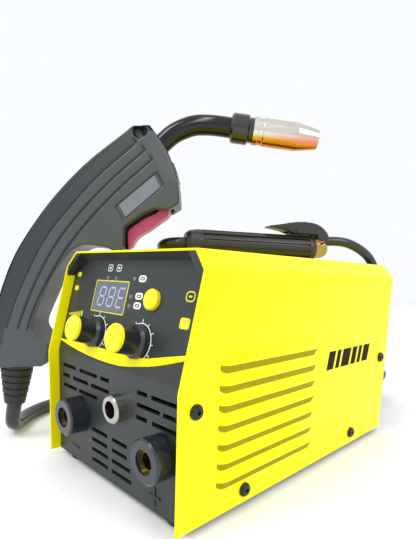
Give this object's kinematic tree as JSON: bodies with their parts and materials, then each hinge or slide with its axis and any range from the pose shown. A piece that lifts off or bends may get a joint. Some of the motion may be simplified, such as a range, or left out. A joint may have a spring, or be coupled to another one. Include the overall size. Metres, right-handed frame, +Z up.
{
  "type": "mig welding machine",
  "caption": "Compact inverter wire-feed welding power source in a yellow folded steel case, with a welding gun hooked over its edge and an electrode holder on top.",
  "frame": {"origin": "middle of the case's footprint, on the plane of the undersides of its rubber feet", "axes": "+Z up, -Y out of the front panel, +X to the right of a person who looks along +Y at the front panel"},
  "size_m": [0.2932, 0.4242, 0.2464],
  "materials": {
    "yellow_paint": "gloss powder coat",
    "bare_steel": "zinc plated sheet",
    "black_screw": "black oxide",
    "black_paint": "satin black powder coat",
    "black_rubber": "matt",
    "black_moulding": "fine texture",
    "overlay_print": "satin printed film",
    "yellow_plastic": "gloss",
    "display_lens": "clear lens",
    "display_body": "satin",
    "led_lens": "diffused",
    "green_board": "solder mask",
    "pot_metal": "plated",
    "brass_contact": "turned",
    "nickel": "polished nickel",
    "switch_red": "gloss",
    "cast_alloy": "cast",
    "tool_steel": "ground",
    "spool_plastic": "moulded",
    "wire_copper": "copper coated wire",
    "core_ferrite": "ferrite and tape",
    "gun_plastic": "satin moulded",
    "trigger_red": "satin",
    "neck_black": "gloss sleeve",
    "insulator": "ribbed",
    "copper": "copper",
    "holder_plastic": "ribbed moulding",
    "cable_black": "glossy sheath"
  },
  "bodies": {
    "root": {"base_pan": "black_paint", "capacitors": "pot_metal", "case_screws": "black_screw", "control_board": "green_board", "control_overlay": "overlay_print", "cover": "yellow_paint", "display_module": "display_body", "display_window": "display_lens", "divider_wall": "bare_steel", "door_hinge": "bare_steel", "fan_frame": "black_moulding", "feed_motor": "pot_metal", "feed_plate": "cast_alloy", "front_panel": "black_moulding", "gun_boot": "black_rubber", "gun_contact_tip": "copper", "gun_insulator": "insulator", "gun_lead": "cable_black", "gun_lead_coil": "cable_black", "gun_neck": "neck_black", "gun_nozzle": "nickel", "gun_plug": "gun_plastic", "gun_shell_left": "gun_plastic", "gun_shell_right": "gun_plastic", "heatsinks": "cast_alloy", "holder_grip": "holder_plastic", "holder_jaw": "brass_contact", "holder_lead": "cable_black", "holder_lead_coil": "cable_black", "holder_plug": "holder_plastic", "indicator_leds": "led_lens", "main_board": "green_board", "mains_gland": "black_moulding", "negative_socket": "black_moulding", "positive_socket": "black_moulding", "potentiometers": "pot_metal", "power_switch_frame": "black_moulding", "rear_panel": "black_paint", "rubber_feet": "black_rubber", "socket_contacts": "brass_contact", "spool_hub": "spool_plastic", "torch_socket": "nickel", "transformer": "core_ferrite"},
    "knob_left_body": {"knob_left": "black_moulding", "knob_cap_left": "yellow_plastic"},
    "knob_right_body": {"knob_right": "black_moulding", "knob_cap_right": "yellow_plastic"},
    "button_body": {"mode_button": "yellow_plastic"},
    "door_body": {"spool_door": "yellow_paint", "door_catch": "black_moulding"},
    "fan_body": {"fan_rotor": "black_moulding"},
    "rocker_body": {"power_switch_rocker": "switch_red"},
    "drive_roll_body": {"drive_roll": "tool_steel"},
    "pressure_arm_body": {"pressure_arm": "cast_alloy"},
    "pressure_roll_body": {"pressure_roll": "tool_steel"},
    "spool_body": {"wire_spool": "spool_plastic", "wire_winding": "wire_copper"},
    "trigger_body": {"gun_trigger": "trigger_red"},
    "lever_body": {"holder_lever": "holder_plastic", "holder_upper_jaw": "copper"}
  },
  "joints": [
    {"name": "knob_left_turn", "type": "hinge", "parent": "root", "child": "knob_left_body", "pos_m": [-0.024, -0.10763, 0.09446], "axis": [0, -0.9701, 0.2425], "range_deg": [-135, 135]},
    {"name": "knob_right_turn", "type": "hinge", "parent": "root", "child": "knob_right_body", "pos_m": [0.0222, -0.10763, 0.09446], "axis": [0, -0.9701, 0.2425], "range_deg": [-135, 135]},
    {"name": "mode_button_press", "type": "slide", "parent": "root", "child": "button_body", "axis": [0, 0.9701, -0.2425], "range_m": [0, 0.0008], "stiffness_N_per_m": 300},
    {"name": "spool_door_swing", "type": "hinge", "parent": "root", "child": "door_body", "pos_m": [-0.073, 0.101, 0.074], "axis": [0, 0, -1], "range_deg": [0, 100]},
    {"name": "fan_spin", "type": "hinge", "parent": "root", "child": "fan_body", "pos_m": [0.03, 0.111, 0.08], "axis": [0, 1, 0], "continuous": true},
    {"name": "rocker_tilt", "type": "hinge", "parent": "root", "child": "rocker_body", "pos_m": [-0.038, 0.1198, 0.104], "axis": [1, 0, 0], "range_deg": [0, 14]},
    {"name": "drive_roll_spin", "type": "hinge", "parent": "root", "child": "drive_roll_body", "pos_m": [0.0097, -0.045, 0.0423], "axis": [1, 0, 0], "continuous": true},
    {"name": "pressure_arm_swing", "type": "hinge", "parent": "root", "child": "pressure_arm_body", "pos_m": [0.018, -0.069, 0.0731], "axis": [1, 0, 0], "range_deg": [0, 40]},
    {"name": "pressure_roll_spin", "type": "hinge", "parent": "pressure_arm_body", "child": "pressure_roll_body", "pos_m": [0.0097, -0.045, 0.0641], "axis": [1, 0, 0], "continuous": true},
    {"name": "spool_spin", "type": "hinge", "parent": "root", "child": "spool_body", "pos_m": [-0.02, 0.042, 0.066], "axis": [1, 0, 0], "continuous": true},
    {"name": "gun_trigger_pull", "type": "hinge", "parent": "root", "child": "trigger_body", "pos_m": [-0.03309, -0.04509, 0.1792], "axis": [-0.7071, 0.7071, 0], "range_deg": [0, 6], "stiffness_Nm_per_rad": 0.6, "springref_deg": -2.86},
    {"name": "holder_lever_squeeze", "type": "hinge", "parent": "root", "child": "lever_body", "pos_m": [0.01765, 0.0443, 0.169], "axis": [0.8712, -0.4909, 0], "range_deg": [0, 9.5], "stiffness_Nm_per_rad": 2, "springref_deg": -11.46}
  ],
  "couplings": [
    {"joint": "pressure_roll_spin", "follows": "drive_roll_spin", "ratio": -1.3333}
  ]
}
